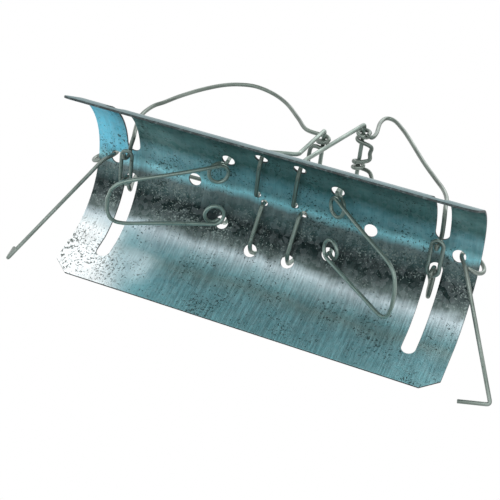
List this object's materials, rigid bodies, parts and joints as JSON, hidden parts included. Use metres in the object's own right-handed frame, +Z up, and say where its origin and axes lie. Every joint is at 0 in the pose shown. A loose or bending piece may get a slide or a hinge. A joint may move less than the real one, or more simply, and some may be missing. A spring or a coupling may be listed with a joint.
{
  "type": "barrel mole trap",
  "caption": "Half-barrel sheet-metal mole trap with wire springs that drive nooses through end slots, hinged latches and swinging trigger tongues.",
  "frame": {"origin": "on the ground, level with the barrel's two lower edges, under the middle of the whole trap with its latches", "axes": "+X along the barrel, +Z up, +Y towards the side that the latches hang over"},
  "size_m": [0.1938, 0.0776, 0.0982],
  "materials": {
    "galvanised_sheet": "galvanised, spangled",
    "frame_wire": "zinc plated wire",
    "spring_wire": "zinc plated spring wire",
    "link_wire": "zinc plated wire",
    "latch_wire": "zinc plated wire",
    "trigger_wire": "zinc plated wire"
  },
  "bodies": {
    "tunnel": {"barrel": "galvanised_sheet", "frame_left": "frame_wire"},
    "left_spring": {"spring_left": "spring_wire", "noose_link_left": "link_wire"},
    "right_spring": {"frame_right": "frame_wire", "spring_right": "spring_wire", "noose_link_right": "link_wire"},
    "left_latch": {"latch_left": "latch_wire"},
    "right_latch": {"latch_right": "latch_wire"},
    "left_trigger": {"trigger_left": "trigger_wire"},
    "right_trigger": {"trigger_right": "trigger_wire"}
  },
  "joints": [
    {"name": "left_spring_turn", "type": "hinge", "parent": "tunnel", "child": "left_spring", "pos_m": [0.0077, -0.00352, 0.06198], "axis": [0, -1, 0], "range_deg": [0, 12], "stiffness_Nm_per_rad": 2, "springref_deg": -17.19},
    {"name": "right_spring_rock", "type": "hinge", "parent": "tunnel", "child": "right_spring", "pos_m": [0.0113, -0.00352, 0.03008], "axis": [0, 1, 0], "range_deg": [0, 14], "stiffness_Nm_per_rad": 2, "springref_deg": -17.19},
    {"name": "left_latch_swing", "type": "hinge", "parent": "tunnel", "child": "left_latch", "pos_m": [-0.0685, -0.00242, 0.03428], "axis": [0.454, 0.891, 0], "range_deg": [0, 190]},
    {"name": "right_latch_swing", "type": "hinge", "parent": "tunnel", "child": "right_latch", "pos_m": [0.0763, -0.00242, 0.03428], "axis": [0.454, -0.891, 0], "range_deg": [0, 175]},
    {"name": "left_trigger_swing", "type": "hinge", "parent": "tunnel", "child": "left_trigger", "pos_m": [-0.0173, -0.00352, 0.03149], "axis": [0, 1, 0], "range_deg": [-45, 5]},
    {"name": "right_trigger_swing", "type": "hinge", "parent": "tunnel", "child": "right_trigger", "pos_m": [0.0251, -0.00352, 0.03149], "axis": [0, -1, 0], "range_deg": [-45, 5]}
  ]
}
